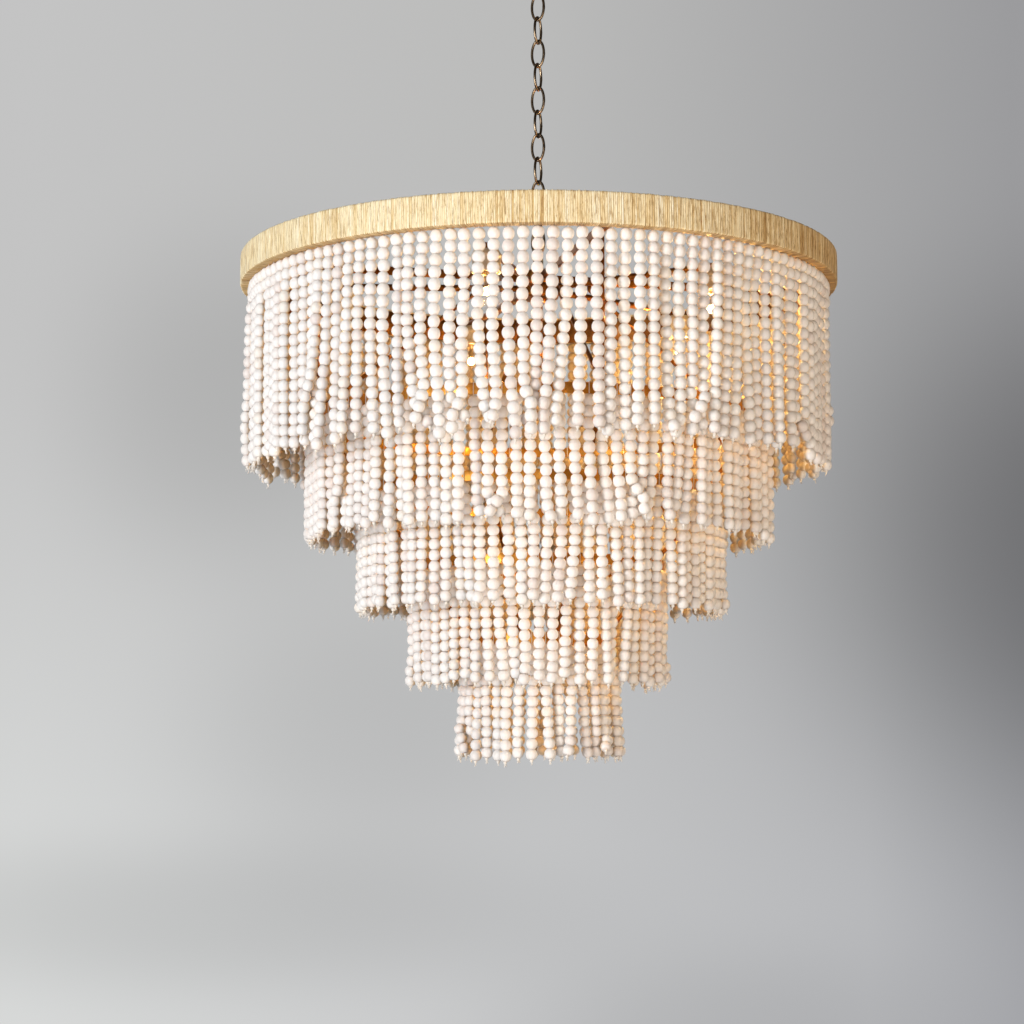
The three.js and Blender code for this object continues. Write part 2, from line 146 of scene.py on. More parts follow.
LAMP_ARM_LEVEL = -419.3
LAMP_ARM_RADIUS = 4
SOCKET_TOP = -423.6
SOCKET_RADIUS = 16.5
SOCKET_HEIGHT = 25
SOCKET_WALL = 3
SOCKET_WAIST = 1
CAP_RADIUS = 13
CAP_THREADS = 6
GLOBE_RADIUS = 23
GLOBE_DROP = 0.82 * GLOBE_RADIUS
GLOBE_START = -35
FILAMENT_GLOW = 20.0
FILAMENT_COUNT = 4
FILAMENT_RADIUS = 1.5
FILAMENT_LENGTH = 8
FILAMENT_SPREAD = 2.2
FILAMENT_DROP = 16
LEAD_RADIUS = 0.35
BEAD_WIDTH = 13.4
BEAD_PITCH = 12.2
BEAD_SWELL = 13.7
BEAD_FULLNESS = 2.05
THREAD = 0.55
ROUND_STEPS = 64


# Materials
def principled(name, **values):
    material = bpy.data.materials.new(name)
    material.use_nodes = True
    shader = material.node_tree.nodes["Principled BSDF"]
    for key, value in values.items():
        shader.inputs[key.replace("_", " ")].default_value = value
    return material, material.node_tree, shader


def node(tree, kind, settings=None, inputs=None):
    made = tree.nodes.new(kind)
    for key, value in (settings or {}).items():
        setattr(made, key, value)
    for key, value in (inputs or {}).items():
        made.inputs[key].default_value = value
    return made


def ramp(tree, source, stops):
    made = node(tree, "ShaderNodeValToRGB")
    marks = made.color_ramp.elements
    while len(marks) < len(stops):
        marks.new(0.5)
    for mark, (position, color) in zip(marks, stops):
        mark.position = position
        mark.color = (*color, 1)
    tree.links.new(source, made.inputs["Fac"])
    return made.outputs["Color"]


def stretched(tree, source, scale):
    made = node(tree, "ShaderNodeMapping", inputs={"Scale": scale})
    tree.links.new(source, made.inputs["Vector"])
    return made.outputs["Vector"]


def noise(tree, vector, scale, detail=4.0, roughness=0.55):
    values = {"Scale": scale, "Detail": detail, "Roughness": roughness}
    made = node(tree, "ShaderNodeTexNoise", inputs=values)
    tree.links.new(vector, made.inputs["Vector"])
    return made.outputs["Fac"]


def spread(tree, source, low, high):
    made = node(tree, "ShaderNodeMapRange", inputs={"To Min": low, "To Max": high})
    tree.links.new(source, made.inputs["Value"])
    return made.outputs["Result"]


def blended(tree, mode, amount, first, second):
    made = node(tree, "ShaderNodeMix", {"data_type": "RGBA", "blend_type": mode})
    made.inputs["Factor"].default_value = amount
    tree.links.new(first, made.inputs["A"])
    tree.links.new(second, made.inputs["B"])
    return made.outputs["Result"]


def bumped(tree, shader, height, strength, distance):
    made = node(tree, "ShaderNodeBump", inputs={"Strength": strength, "Distance": distance})
    tree.links.new(height, made.inputs["Height"])
    tree.links.new(made.outputs["Normal"], shader.inputs["Normal"])


def object_place(tree):
    return node(tree, "ShaderNodeTexCoord").outputs["Object"]


def attribute(tree, name, output):
    return node(tree, "ShaderNodeAttribute", {"attribute_name": name}).outputs[output]


def white_wood():
    material, tree, shader = principled("white_wood", Roughness=0.5, Specular_IOR_Level=0.35)
    tint = attribute(tree, "tint", "Fac")
    grain_place = attribute(tree, "grain", "Vector")
    base = ramp(tree, tint, [
        (0.0, (0.84, 0.77, 0.74)), (0.25, (0.90, 0.86, 0.84)), (0.55, (0.93, 0.91, 0.895)),
        (0.85, (0.94, 0.925, 0.91)), (1.0, (0.92, 0.87, 0.81)),
    ])
    fibre = noise(tree, stretched(tree, grain_place, (900, 900, 170)), 1.0, 5.0, 0.6)
    cloud = noise(tree, grain_place, 190, 3.0)
    fibres = ramp(tree, fibre, [(0.3, (0.88, 0.85, 0.82)), (0.6, (1, 1, 1))])
    clouds = ramp(tree, cloud, [(0.3, (0.95, 0.93, 0.92)), (0.65, (1, 1, 1))])
    color = blended(tree, "MULTIPLY", 0.45, base, fibres)
    color = blended(tree, "MULTIPLY", 0.7, color, clouds)
    # Painted shade where neighbouring beads touch, darker towards each bead's flat ends
    contact_shade = ramp(tree, attribute(tree, "hole", "Fac"), [(0.3, (1, 1, 1)), (1.0, (0.80, 0.74, 0.70))])
    color = blended(tree, "MULTIPLY", 0.7, color, contact_shade)
    # Painted warm shade: each bead turns tan on its side that faces into the chandelier, standing in for the
    # lamps' light and the shade inside.
    inner_warm_shade_color = ramp(tree, attribute(tree, "inner_warm_shade", "Fac"), [(0.12, (1, 1, 1)), (0.8, (0.61, 0.475, 0.31))])
    color = blended(tree, "MULTIPLY", 1.0, color, inner_warm_shade_color)
    tree.links.new(color, shader.inputs["Base Color"])
    tree.links.new(spread(tree, fibre, 0.42, 0.62), shader.inputs["Roughness"])
    bumped(tree, shader, fibre, 0.25, 0.0003)
    return material


def cotton():
    material, tree, shader = principled("cotton", Roughness=0.85, Sheen_Weight=0.3)
    fibre = noise(tree, object_place(tree), 1500, 3.0)
    color = ramp(tree, fibre, [(0.3, (0.72, 0.66, 0.58)), (0.7, (0.93, 0.9, 0.86))])
    tree.links.new(color, shader.inputs["Base Color"])
    bumped(tree, shader, fibre, 0.4, 0.0002)
    return material


def raffia():
    material, tree, shader = principled("raffia", Sheen_Weight=0.2, Specular_IOR_Level=0.35)
    # tint is each turn's own fibre tone, with painted shade in the grooves, under the lower lip and towards
    # the ring's right side
    tint = attribute(tree, "tint", "Fac")
    along = attribute(tree, "grain", "Vector")
    base = ramp(tree, tint, [
        (0.0, (0.27, 0.15, 0.05)), (0.3, (0.66, 0.45, 0.19)), (0.55, (0.93, 0.79, 0.50)),
        (0.8, (0.97, 0.89, 0.66)), (1.0, (0.98, 0.94, 0.78)),
    ])
    fibre = noise(tree, stretched(tree, along, (520, 55, 1)), 1.0, 5.0, 0.75)
    fleck = noise(tree, stretched(tree, along, (330, 60, 1)), 1.0, 4.0, 0.7)
    streak = ramp(tree, fibre, [(0.38, (0.46, 0.31, 0.15)), (0.49, (0.9, 0.83, 0.7)), (0.58, (1, 1, 1))])
    flecks = ramp(tree, fleck, [(0.56, (1, 1, 1)), (0.66, (0.45, 0.29, 0.12))])
    color = blended(tree, "MULTIPLY", 0.85, base, streak)
    color = blended(tree, "MULTIPLY", 0.8, color, flecks)
    tree.links.new(color, shader.inputs["Base Color"])
    tree.links.new(spread(tree, fibre, 0.55, 0.8), shader.inputs["Roughness"])
    bumped(tree, shader, fibre, 0.5, 0.0004)
    return material


def metal(name, dark, light, low, high, cells):
    """Patinated metal between two tones, its roughness from low on the light tone to high on the dark one."""
    material, tree, shader = principled(name, Metallic=1.0)
    place = object_place(tree)
    patina = noise(tree, place, cells, 6.0, 0.62)
    fine = noise(tree, place, cells * 9, 3.0)
    color = ramp(tree, patina, [(0.32, dark), (0.66, light)])
    tree.links.new(color, shader.inputs["Base Color"])
    tree.links.new(spread(tree, patina, high, low), shader.inputs["Roughness"])
    bumped(tree, shader, fine, 0.12, 0.0002)
    return material


def lamp_glass():
    material, tree, shader = principled("lamp_glass", Alpha=0.14, Transmission_Weight=1.0, IOR=1.3)
    haze = noise(tree, object_place(tree), 90, 3.0)
    color = ramp(tree, haze, [(0.3, (0.95, 0.72, 0.42)), (0.7, (1.0, 0.86, 0.62))])
    tree.links.new(color, shader.inputs["Base Color"])
    tree.links.new(spread(tree, haze, 0.03, 0.12), shader.inputs["Roughness"])
    return material


def filament():
    material, tree, shader = principled("filament", Roughness=0.6, Emission_Strength=FILAMENT_GLOW)
    dots = noise(tree, object_place(tree), 700, 2.0)
    color = ramp(tree, dots, [(0.35, (1.0, 0.58, 0.22)), (0.65, (1.0, 0.68, 0.30))])
    tree.links.new(color, shader.inputs["Emission Color"])
    tree.links.new(color, shader.inputs["Base Color"])
    return material


def ivory_plastic():
    material, tree, shader = principled("ivory_holder", Roughness=0.5)
    speck = noise(tree, object_place(tree), 300, 4.0)
    color = ramp(tree, speck, [(0.3, (0.60, 0.50, 0.36)), (0.65, (0.74, 0.65, 0.50))])
    tree.links.new(color, shader.inputs["Base Color"])
    tree.links.new(spread(tree, speck, 0.42, 0.6), shader.inputs["Roughness"])
    bumped(tree, shader, speck, 0.1, 0.0002)
    return material


WOOD = white_wood()
COTTON = cotton()
RAFFIA = raffia()
BRASS = metal("antique_brass", (0.30, 0.20, 0.095), (0.66, 0.50, 0.29), 0.24, 0.46, 60)
GOLD = metal("warm_gold", (0.42, 0.18, 0.03), (0.84, 0.44, 0.09), 0.2, 0.38, 60)
BRONZE = metal("dark_bronze", (0.13, 0.042, 0.01), (0.46, 0.18, 0.04), 0.26, 0.44, 45)
CHAIN_BRASS = metal("aged_chain_brass", (0.09, 0.06, 0.035), (0.40, 0.30, 0.20), 0.22, 0.4, 120)
GLASS = lamp_glass()
FILAMENT = filament()
IVORY = ivory_plastic()


# Mesh helpers: a shape is a pair of vertices in millimetres and faces
def rounded(outline, radius, steps=4, closed=True):
    """An outline with its corners rounded off, as vectors."""
    points = [Vector(p) for p in outline]
    count = len(points)
    out = []
    for i, point in enumerate(points):
        if not closed and i in (0, count - 1):
            out.append(point)
            continue
        into = points[i - 1] - point
        away = points[(i + 1) % count] - point
        near = min(radius, into.length * 0.45, away.length * 0.45)
        first = point + into.normalized() * near
        last = point + away.normalized() * near
        for s in range(steps + 1):
            t = s / steps
            out.append(first.lerp(point, t).lerp(point.lerp(last, t), t))
    return out


def lathe(profile, steps=ROUND_STEPS, closed=False):
    """A profile of (radius, height) pairs turned about the upright axis."""
    verts, rows, faces = [], [], []
    for r, z in profile:
        if r < 1e-6:
            rows.append([len(verts)] * steps)
            verts.append((0, 0, z))
            continue
        start = len(verts)
        rows.append(list(range(start, start + steps)))
        for s in range(steps):
            turn = 2 * math.pi * s / steps
            verts.append((r * math.sin(turn), -r * math.cos(turn), z))
    pairs = list(zip(rows, rows[1:]))
    if closed:
        pairs.append((rows[-1], rows[0]))
    for low, high in pairs:
        for s in range(steps):
            n = (s + 1) % steps
            corners = [low[s], low[n], high[n], high[s]]
            face = list(dict.fromkeys(corners))
            if len(face) > 2:
                faces.append(face)
    return verts, faces


def tube_faces(rows, sides, closed=False, flipped=False):
    """Faces between rows of points, where each row is a ring of as many points as there are sides."""
    faces = []
    for i in range(rows if closed else rows - 1):
        a = i * sides
        b = (i + 1) % rows * sides
        for s in range(sides):
            n = (s + 1) % sides
            face = [a + s, b + s, b + n, a + n]
            faces.append([face[0], face[3], face[2], face[1]] if flipped else face)
    return faces


def swept(points, section, closed=False, side=(1, 0, 0)):
    """A section of (across, side) pairs along a path that bends in the plane square to side."""
    path = [Vector(p) for p in points]
    side = Vector(side).normalized()
    count = len(path)
    verts = []
    for i, point in enumerate(path):
        into = (point - path[i - 1]).normalized() if closed or i > 0 else None
        away = (path[(i + 1) % count] - point).normalized() if closed or i < count - 1 else None
        along = ((into or away) + (away or into)).normalized()
        across = side.cross(along).normalized()
        for u, v in section(i / count) if callable(section) else section:
            verts.append(point + across * u + side * v)
    sides = len(verts) // count
    faces = tube_faces(count, sides, closed)
    if not closed:
        faces.append(list(range(sides)))
        faces.append([(count - 1) * sides + s for s in reversed(range(sides))])
    return [tuple(v) for v in verts], faces


def held(value, low, high):
    return min(high, max(low, value))


def circle(radius, sides=14):
    return [(radius * math.cos(2 * math.pi * s / sides), radius * math.sin(2 * math.pi * s / sides))
            for s in range(sides)]


def oval(width, height, wire, steps=56):
    """A closed link of round wire, a little thicker where it is welded at one side."""
    points = []
    for i in range(steps):
        turn = 2 * math.pi * (i + 0.5) / steps
        points.append(((width - wire) / 2 * math.sin(turn), 0, (height - wire) / 2 * math.cos(turn)))

    def section(share):
        weld = math.exp(-((share - WELD_PLACE) / WELD_SPREAD) ** 2)
        return circle(wire / 2 * (1 + WELD_SWELL * weld), 16)

    return swept(points, section, True, (0, 1, 0))


def moved(shape, turn=0, height=0, radius=0):
    """A shape turned about the upright axis from the front, then moved up and outwards."""
    verts, faces = shape
    sine, cosine = math.sin(turn), math.cos(turn)
    x, y = radius * sine, -radius * cosine
    return [(vx * cosine - vy * sine + x, vx * sine + vy * cosine + y, vz + height)
            for vx, vy, vz in verts], faces


def joined(*shapes):
    verts, faces = [], []
    for more_verts, more_faces in shapes:
        base = len(verts)
        verts += more_verts
        faces += [[base + i for i in face] for face in more_faces]
    return verts, faces


def placed(name, data):
    """A new object in the scene that shows a mesh or a light."""
    made = bpy.data.objects.new(name, data)
    bpy.context.scene.collection.objects.link(made)
    return made


def build(name, shape, material, sharp=35):
    verts, faces = shape
    mesh = bpy.data.meshes.new(name)
    mesh.from_pydata([(x * MM, y * MM, z * MM) for x, y, z in verts], [], faces)
    mesh.update()
    mesh.shade_smooth()
    mesh.set_sharp_from_angle(angle=sharp * DEG)
    mesh.materials.append(material)
    return placed(name, mesh)


def rigid(name, shape, material, body, slot, *nodes):
    """A piece that moves with one body and takes the place of the CAD nodes named."""
    piece = build(name, shape, material)
    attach(piece, body)
    if nodes:
        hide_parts(*nodes)


def add_attribute(mesh, name, values):
    """A number or a vector at each point, which the materials read by name."""
    values = np.asarray(values, dtype=np.float32)
    kind, field = ("FLOAT", "value") if values.ndim == 1 else ("FLOAT_VECTOR", "vector")
    layer = mesh.attributes.new(name, kind, "POINT")
    layer.data.foreach_set(field, values.ravel())


# Canopy, its loop and the chain
EVEN_PLANE = (CHAIN_TURN + 90) * DEG
ODD_PLANE = CHAIN_TURN * DEG


def canopy():
    outside, inside = [], []
    steps = 20
    for i in range(steps + 1):
        t = math.pi / 2 * i / steps
        for line, inset in ((outside, 0), (inside, CANOPY_WALL)):
            r = CANOPY_NECK + (CANOPY_RADIUS - inset - CANOPY_NECK) * math.cos(t)
            line.append((r, -(CANOPY_DEPTH - inset) * math.sin(t)))
    hole = STEM_RADIUS + FIT
    neck = [(hole, -CANOPY_DEPTH), (hole, -CANOPY_DEPTH + CANOPY_WALL)]
    return lathe(outside + neck + inside[::-1], 96, True)


def canopy_loop():
    collar_top = -CANOPY_DEPTH - FIT
    collar_bottom = collar_top - COLLAR_HEIGHT
    stem = rounded([
        (0, STEM_TOP), (STEM_RADIUS, STEM_TOP), (STEM_RADIUS, collar_top), (COLLAR_RADIUS, collar_top),
        (COLLAR_RADIUS, collar_bottom + 0.6 * COLLAR_BEVEL), (COLLAR_RADIUS - COLLAR_BEVEL, collar_bottom),
        (0, collar_bottom),
    ], 0.8, 4, False)
    centre = collar_bottom + EYE_SINK - EYE_HEIGHT / 2 + EYE_WIRE
    return joined(lathe(stem), moved(oval(EYE_WIDTH, EYE_HEIGHT, EYE_WIRE), 0, centre))


rigid("canopy_dome", canopy(), BRASS, "ceiling_mount", "antique_brass", "canopy")
hung_loop = moved(canopy_loop(), EVEN_PLANE)
rigid("canopy_eye", hung_loop, BRASS, "ceiling_mount", "antique_brass", "canopy_loop")
for k in range(LINK_COUNT):
    plane = ODD_PLANE if k % 2 == 0 else EVEN_PLANE
    link = moved(oval(LINK_WIDTH, LINK_HEIGHT, WIRE), plane, FIRST_LINK - k * LINK_PITCH)
    tag = f"{k + 1:02d}"
    rigid(f"link_wire_{tag}", link, CHAIN_BRASS, f"link_{tag}", "antique_brass", f"chain_link_{tag}")


# Hub eye, spider, ring core, column
def hub_eye():
    low = HUB_TOP + FIT
    foot = rounded([
        (0, low), (COLLAR_RADIUS, low), (COLLAR_RADIUS, low + EYE_FOOT_RIM),
        (EYE_FOOT_TOP, low + EYE_FOOT_HEIGHT), (0, low + EYE_FOOT_HEIGHT),
    ], 0.7, 4, False)
    centre = low + HUB_EYE_HEIGHT / 2
    return joined(lathe(foot), moved(oval(EYE_WIDTH, HUB_EYE_HEIGHT, EYE_WIRE), 0, centre))


def strip(radius, width, thickness, low, high, steps=12):
    """A curved plate that lies inside the radius, centred on the front."""
    half = width / 2 / radius
    verts = []
    section = rounded([
        (radius - thickness, low), (radius, low), (radius, high), (radius - thickness, high)], 0.6, 2)
    for i in range(steps + 1):
        turn = half * (2 * i / steps - 1)
        verts += [(r * math.sin(turn), -r * math.cos(turn), z) for r, z in section]
    sides = len(section)
    faces = tube_faces(steps + 1, sides, flipped=True)
    faces.append(list(range(sides))[::-1])
    faces.append([steps * sides + s for s in range(sides)])
    return verts, faces


def spider():
    reach = CORE_INNER - 2 * FIT
    middle = ARM_TOP - ARM_HEIGHT / 2
    hub = rounded([
        (0, HUB_BOTTOM), (HUB_RADIUS, HUB_BOTTOM), (HUB_RADIUS, HUB_TOP), (0, HUB_TOP)], 2, 5, False)
    high, wide = ARM_HEIGHT / 2, ARM_THICKNESS / 2
    section = rounded([(-high, -wide), (high, -wide), (high, wide), (-high, wide)], 0.8, 3)
    arm = swept([(0, -y, middle) for y in (8, reach * 0.5, reach - 1)], section)
    foot = strip(reach, FOOT_WIDTH, FOOT_THICKNESS, ARM_TOP - ARM_HEIGHT, ARM_TOP)
    dome_verts, dome_faces = lathe(RIVET_PROFILE, 20)
    rivet = moved(([(x, -z, y) for x, y, z in dome_verts], dome_faces), math.pi, middle)
    shapes = [lathe(hub)]
    for k in range(ARM_COUNT):
        turn = (ARM_AZIMUTH + ARM_STEP * k) * DEG
        shapes += [moved(arm, turn), moved(foot, turn)]
        for side in (-1, 1):
            aside = side * RIVET_PLACE / reach
            shapes.append(moved(rivet, turn + aside, 0, reach - FOOT_THICKNESS))
    return joined(*shapes)


rigid("hub_eye_wire", moved(hub_eye(), EVEN_PLANE), CHAIN_BRASS, "frame", "antique_brass", "hub_eye")
rigid("spider_arms", spider(), BRONZE, "frame", "dark_bronze", "spider")
core_bottom = BAND_BOTTOM + WRAP_LIP + FIT
core_top = BAND_TOP - WRAP_LIP - FIT
core = rounded([
    (CORE_INNER, core_bottom), (CORE_OUTER, core_bottom),
    (CORE_OUTER, core_top), (CORE_INNER, core_top)], 1, 3)
rigid("ring_core_hoop", lathe(core, 160, True), BRONZE, "frame", "antique_brass", "ring_core")


def column():
    stem = rounded([
        (0, COLUMN_TOP), (COLUMN_RADIUS, COLUMN_TOP), (COLUMN_RADIUS, COLUMN_END + TIP_HEIGHT),
        (TIP_RADIUS, COLUMN_END + TIP_BULGE), (0, COLUMN_END)], 1.6, 5, False)
    nut = rounded([
        (COLUMN_RADIUS, NUT_TOP), (NUT_RADIUS, NUT_TOP),
        (NUT_RADIUS, NUT_BOTTOM), (COLUMN_RADIUS, NUT_BOTTOM)], 0.8, 3)
    return joined(lathe(stem, 32), lathe(nut, 6, True))


rigid("column_tube", column(), BRONZE, "frame", "dark_bronze", "column")


# Lamp body, lampholders and lamps
def lamp_body():
    bore = COLUMN_RADIUS + FIT
    middle = rounded([
        (bore, BODY_TOP), (BODY_RADIUS, BODY_TOP),
        (BODY_RADIUS, BODY_BOTTOM), (bore, BODY_BOTTOM)], 3, 6)
    reaches = (BODY_RADIUS / 2, LAMP_RADIUS / 2, LAMP_RADIUS + LAMP_ARM_RADIUS)
    arm = swept([(0, -reach, LAMP_ARM_LEVEL) for reach in reaches], circle(LAMP_ARM_RADIUS, 20))
    arms = [moved(arm, (LAMP_AZIMUTH + LAMP_STEP * k) * DEG) for k in range(LAMP_COUNT)]
    return joined(lathe(middle, ROUND_STEPS, True), *arms)


def lampholder():
    bore = SOCKET_RADIUS - SOCKET_WALL
    waist = SOCKET_RADIUS - SOCKET_WAIST
    profile = [
        (0, 0), (bore, 0), (SOCKET_RADIUS, -2 * SOCKET_WALL), (waist, -SOCKET_HEIGHT * 0.42),
        (waist, -SOCKET_HEIGHT * 0.72), (SOCKET_RADIUS, -SOCKET_HEIGHT * 0.8),
        (SOCKET_RADIUS, -SOCKET_HEIGHT), (bore, -SOCKET_HEIGHT), (bore, -SOCKET_WALL), (0, -SOCKET_WALL)]
    return lathe(rounded(profile, 1.2, 4, False), 48)


def lamp_globe():
    neck = -SOCKET_HEIGHT - FIT
    centre = neck - GLOBE_DROP
    steps = 18
    profile = [(0, neck + 2), (CAP_RADIUS - 1, neck + 2), (CAP_RADIUS, neck)]
    for i in range(steps + 1):
        turn = (GLOBE_START + (90 - GLOBE_START) * i / steps) * DEG
        profile.append((GLOBE_RADIUS * math.cos(turn), centre - GLOBE_RADIUS * math.sin(turn)))
    profile.append((0, centre - GLOBE_RADIUS))
    return lathe(profile, 48)


def filament_ring(shape):
    """A shape for each filament, side by side round the lamp's middle."""
    return [moved(shape, 2 * math.pi * k / FILAMENT_COUNT) for k in range(FILAMENT_COUNT)]


def lamp_filaments():
    """Short glowing rods, hung on the cap's lead wires."""
    top = -SOCKET_HEIGHT - FILAMENT_DROP
    path = [(0, -FILAMENT_SPREAD, top), (0, -FILAMENT_SPREAD, top - FILAMENT_LENGTH)]
    return joined(*filament_ring(swept(path, circle(FILAMENT_RADIUS, 10))))


def lamp_cap():
    """The threaded cap, with the lead wires that run down to the filaments."""
    top = -SOCKET_WALL - FIT
    neck = -SOCKET_HEIGHT - FIT
    high, low = top - 2, neck + 2
    profile = [(0, top), (4, top), (CAP_RADIUS - 2, high)]
    steps = 4 * CAP_THREADS
    for i in range(steps + 1):
        profile.append((CAP_RADIUS - 0.9 + 0.7 * math.cos(math.pi * i / 2), high + (low - high) * i / steps))
    profile.append((0, low))
    path = [(0, -CAP_RADIUS * 0.2, low + 1), (0, -FILAMENT_SPREAD, -SOCKET_HEIGHT - FILAMENT_DROP - 1)]
    return joined(lathe(profile, 40), *filament_ring(swept(path, circle(LEAD_RADIUS, 6))))


rigid("lamp_body_arms", lamp_body(), BRONZE, "frame", "dark_bronze", "lamp_body")
for k in range(LAMP_COUNT):
    spot = ((LAMP_AZIMUTH + LAMP_STEP * k) * DEG, SOCKET_TOP, LAMP_RADIUS)
    n = k + 1
    body = f"lamp_body_{n}"
    rigid(f"holder_cup_{n}", moved(lampholder(), *spot), IVORY, "frame", "ivory_holder", f"lampholder_{n}")
    rigid(f"lamp_globe_{n}", moved(lamp_globe(), *spot), GLASS, body, "warm_glass", f"lamp_{n}")
    rigid(f"lamp_cap_{n}", moved(lamp_cap(), *spot), BRASS, body, "antique_brass")
    rigid(f"lamp_filaments_{n}", moved(lamp_filaments(), *spot), FILAMENT, body, "warm_glass")


# Ribs and hoops
def rib():
    """An upright rod that steps in from hoop to hoop, its brace, and the weld where they meet."""
    start = ARM_TOP - ARM_HEIGHT - FIT

    def seat(tier):
        return -(TIER_RADII[tier] - HOOP_THICKNESS / 2 - FIT - ROD_RADIUS)

    path = [(0, seat(1), start)]
    for t in range(1, 5):
        if t > 1:
            path.append((0, seat(t), TIER_EDGES[t] + HOOP_HEIGHT + ROD_RADIUS))
        path.append((0, seat(t), TIER_EDGES[t]))
    rod = rounded(path, 4, 5, False)
    foot = (0, seat(1) + ROD_RADIUS / 2, TIER_EDGES[1] + HOOP_HEIGHT)
    brace = rounded([
        (0, -BRACE_TOP_RADIUS, start), (0, -BRACE_TOP_RADIUS, start - 2 * ROD_RADIUS), foot], 3, 4, False)
    wire = circle(ROD_RADIUS, 16)
    steps = 8
    profile = []
    for i in range(steps + 1):
        turn = math.pi * i / steps
        profile.append((WELD_RADIUS * math.sin(turn), WELD_HALF * math.cos(turn)))
    weld_verts, weld_faces = lathe(profile, 20)
    weld = [(x, y + foot[1], z + foot[2] + 1) for x, y, z in weld_verts]
    return joined(swept(rod, wire), swept(brace, wire), (weld, weld_faces))


for k in range(ARM_COUNT):
    shape = moved(rib(), (ARM_AZIMUTH + ARM_STEP * k) * DEG)
    rigid(f"rib_rod_{k + 1}", shape, BRONZE, "frame", "antique_brass", f"rib_{k + 1}")
for t in range(1, 5):
    outer = TIER_RADII[t] + HOOP_THICKNESS / 2
    low = TIER_EDGES[t]
    band = rounded([
        (outer - HOOP_THICKNESS, low), (outer, low), (outer, low + HOOP_HEIGHT),
        (outer - HOOP_THICKNESS, low + HOOP_HEIGHT)], 0.9, 4)
    rigid(f"hoop_band_{t + 1}", lathe(band, 144, True), GOLD, "frame", "antique_brass", f"hoop_{t + 1}")


# Ring wrap: plant fibre wound side by side over the core, each turn a ridge of its own
WRAP_TURNS = 1000
WRAP_BOTTOM = BAND_BOTTOM + 1.4
WRAP_CORNER = 2.6
RIDGE_STEPS = 4
RIDGE_HEIGHT = 0.6
RIDGE_LIFT = (0.2, 1.6)
TURN_WIDTH = (0.65, 1.35)
SLANT_STEP = 0.0012
SKIN_STEP = 4
FIBRE_TONE = (0.74, 0.14)
# Painted shade that darkens the fibre towards the ring's right side
RIGHT_SIDE_SHADE = 0.48
# Painted shade in the groove between one turn and the next
GROOVE_SHADE = 0.5
# Painted shade on the underside of the lower lip
UNDER_SHADE = 0.5
INNER_TINT = 0.4
shade = random.Random(7)


def wrap_section():
    """The winding's visible skin, from its lower lip round to the upper one, and its hidden inner side."""
    lip = CORE_INNER - FIT
    wall = RING_RADIUS - WRAP_THICKNESS
    corners = [(lip, WRAP_BOTTOM), (RING_RADIUS, WRAP_BOTTOM), (RING_RADIUS, BAND_TOP), (lip, BAND_TOP)]
    outline = rounded(corners, WRAP_CORNER, 4, False)
    skin = []
    for a, b in zip(outline, outline[1:]):
        pieces = max(1, round((b - a).length / SKIN_STEP))
        skin += [a.lerp(b, i / pieces) for i in range(pieces)]
    skin.append(outline[-1])
    inner = [
        Vector((lip, BAND_TOP - WRAP_LIP)), Vector((wall, BAND_TOP - WRAP_LIP)),
        Vector((wall, BAND_BOTTOM + WRAP_LIP)), Vector((lip, BAND_BOTTOM + WRAP_LIP))]
    middle = Vector(((wall + lip) / 2, (BAND_TOP + BAND_BOTTOM) / 2))
    return skin, inner, middle, RING_RADIUS - lip - 1


def ring_wrap():
    skin, inner, middle, under = wrap_section()
    lengths = [0.0]
    for a, b in zip(skin, skin[1:]):
        lengths.append(lengths[-1] + (b - a).length)
    total = lengths[-1]
    widths = [shade.uniform(*TURN_WIDTH) for _ in range(WRAP_TURNS)]
    whole = sum(widths)
    verts, tone_and_shade, grains = [], [], []
    slant = 0.0
    turned = 0.0
    for w, width in enumerate(widths):
        slant = 0.7 * slant + shade.uniform(-SLANT_STEP, SLANT_STEP)
        lift = shade.uniform(*RIDGE_LIFT) * RIDGE_HEIGHT
        # painted shade, deepest at the ring's right side
        right_shade = RIGHT_SIDE_SHADE * max(0, math.sin(2 * math.pi * turned / whole)) ** 3
        tint = held(shade.gauss(*FIBRE_TONE) - right_shade, 0.1, 1.0)
        for s in range(RIDGE_STEPS):
            share = s / RIDGE_STEPS
            base = 2 * math.pi * (turned + width * share) / whole
            along = base * RING_RADIUS * MM
            ridge = lift * math.sin(math.pi * share) ** 0.7 if s else 0.0
            for point, length in zip(skin, lengths):
                turn = base + slant * (length / total - 0.5)
                out = (point - middle).normalized() * (ridge - RIDGE_HEIGHT)
                r, z = point.x + out.x, point.y + out.y
                verts.append((r * math.sin(turn), -r * math.cos(turn), z))
                # painted shade under the lower lip, and in each turn's groove below
                shaded = UNDER_SHADE if length < under else 1
                tone_and_shade.append((tint if s else tint * GROOVE_SHADE) * shaded)
                grains.append((along, length * MM + w * 0.013, 0))
            for point in inner:
                verts.append((point.x * math.sin(base), -point.x * math.cos(base), point.y))
                tone_and_shade.append(INNER_TINT)
                grains.append((along, 0, 0))
        turned += width
    faces = tube_faces(WRAP_TURNS * RIDGE_STEPS, len(skin) + len(inner), True, True)
    piece = build("ring_raffia", (verts, faces), RAFFIA, 180)
    add_attribute(piece.data, "tint", tone_and_shade)
    add_attribute(piece.data, "grain", grains)
    return piece


wrap = ring_wrap()
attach(wrap, "frame")
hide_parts("ring_wrap")


# Bead strands. A pair of numbers is (mean, spread) for a tone and for STAND, and (least, most) elsewhere.
BEAD_SIDES = 12
BEAD_RINGS = 8
BEAD_DIMPLE = 0.3
CONTACT_SHADE_EDGE = 0.82
BEAD_GROWTH = (0.94, 1.03)
BEAD_TILT = 1.1
BEAD_JITTER = 0.22
BEAD_TONE = 0.17
STRAND_TONE = (0.55, 0.16)
